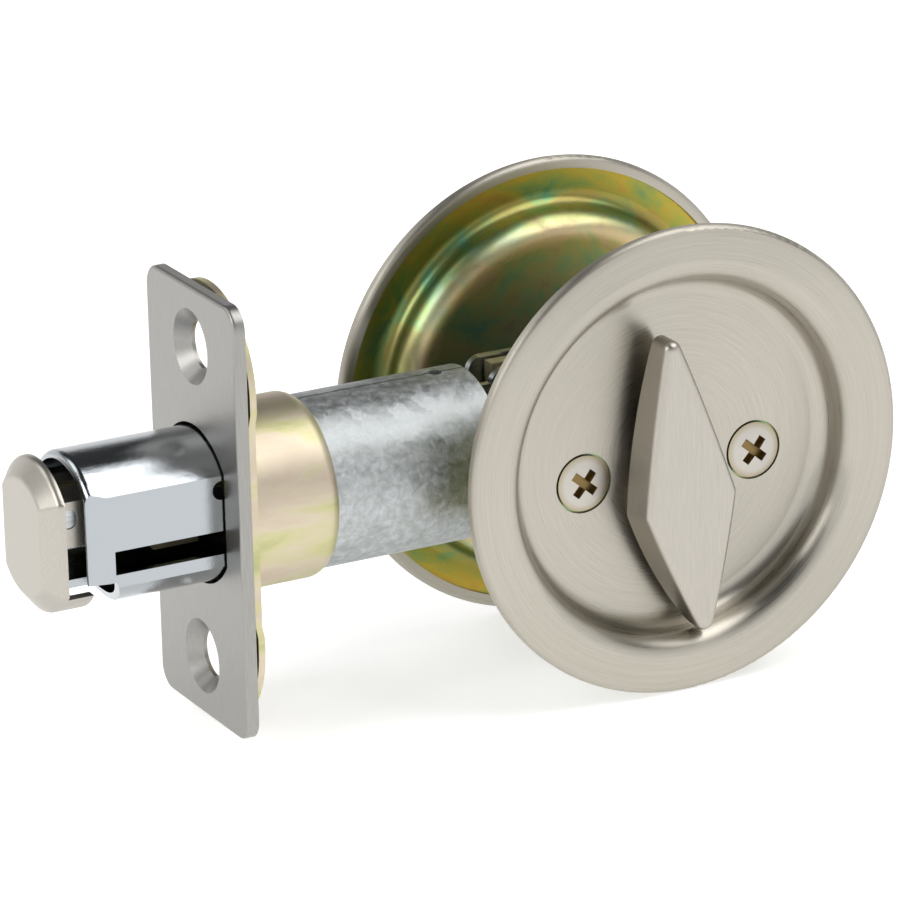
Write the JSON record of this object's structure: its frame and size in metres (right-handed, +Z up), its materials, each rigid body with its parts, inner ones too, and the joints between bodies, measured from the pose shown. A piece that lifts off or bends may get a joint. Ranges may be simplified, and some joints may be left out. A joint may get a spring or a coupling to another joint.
{
  "type": "pocket door lock",
  "caption": "Round pocket door lock: a tubular sliding bolt with an edge plate, thrown by a turn in a dished rose, with a coin slot in the rose on the other side.",
  "frame": {"origin": "centre of the edge plate's front face, on the bolt's axis", "axes": "+X into the door along the bolt, +Y from the turn's rose to the coin slot's rose, +Z up"},
  "size_m": [0.1155, 0.04, 0.0624],
  "materials": {
    "satin_nickel": "satin nickel, finely brushed",
    "bright_chrome": "bright chrome plating",
    "yellow_zinc": "yellow passivated zinc plating",
    "galvanised_steel": "galvanised, faintly spangled",
    "bright_zinc": "bright zinc plating",
    "bright_nickel": "bright nickel plating",
    "plain_steel": "oiled bare steel"
  },
  "bodies": {
    "lockcase": {"faceplate": "satin_nickel", "backplate": "yellow_zinc", "case_tube": "galvanised_steel", "guide_pin": "yellow_zinc", "cheek_front": "bright_zinc", "cheek_rear": "bright_zinc", "cheek_rivets": "bright_zinc", "detent_spring": "plain_steel", "front_cover": "satin_nickel", "front_liner": "yellow_zinc", "rear_cover": "satin_nickel", "rear_liner": "yellow_zinc", "rose_screws": "bright_nickel", "screw_posts": "bright_zinc"},
    "turn": {"turn_piece": "satin_nickel", "spindle": "plain_steel", "crank": "plain_steel", "emergency_turn": "satin_nickel", "turn_clip": "plain_steel", "emergency_clip": "plain_steel"},
    "nose": {"bolt_nose": "satin_nickel", "nose_pin": "bright_zinc", "drive_bar": "yellow_zinc"},
    "sleeve": {"bolt_sleeve": "bright_chrome"}
  },
  "joints": [
    {"name": "turn_hinge", "type": "hinge", "parent": "lockcase", "child": "turn", "pos_m": [0.06032, 0, -0.0056], "axis": [0, 1, 0], "range_deg": [0, 90]},
    {"name": "nose_slide", "type": "slide", "parent": "lockcase", "child": "nose", "axis": [1, 0, 0], "range_m": [0, 0.0241]},
    {"name": "sleeve_slide", "type": "slide", "parent": "lockcase", "child": "sleeve", "axis": [1, 0, 0], "range_m": [0, 0.0214]}
  ],
  "couplings": [
    {"joint": "nose_slide", "follows": "turn_hinge", "m_per_rad": 0.015279},
    {"joint": "sleeve_slide", "follows": "turn_hinge", "m_per_rad": 0.01356}
  ]
}
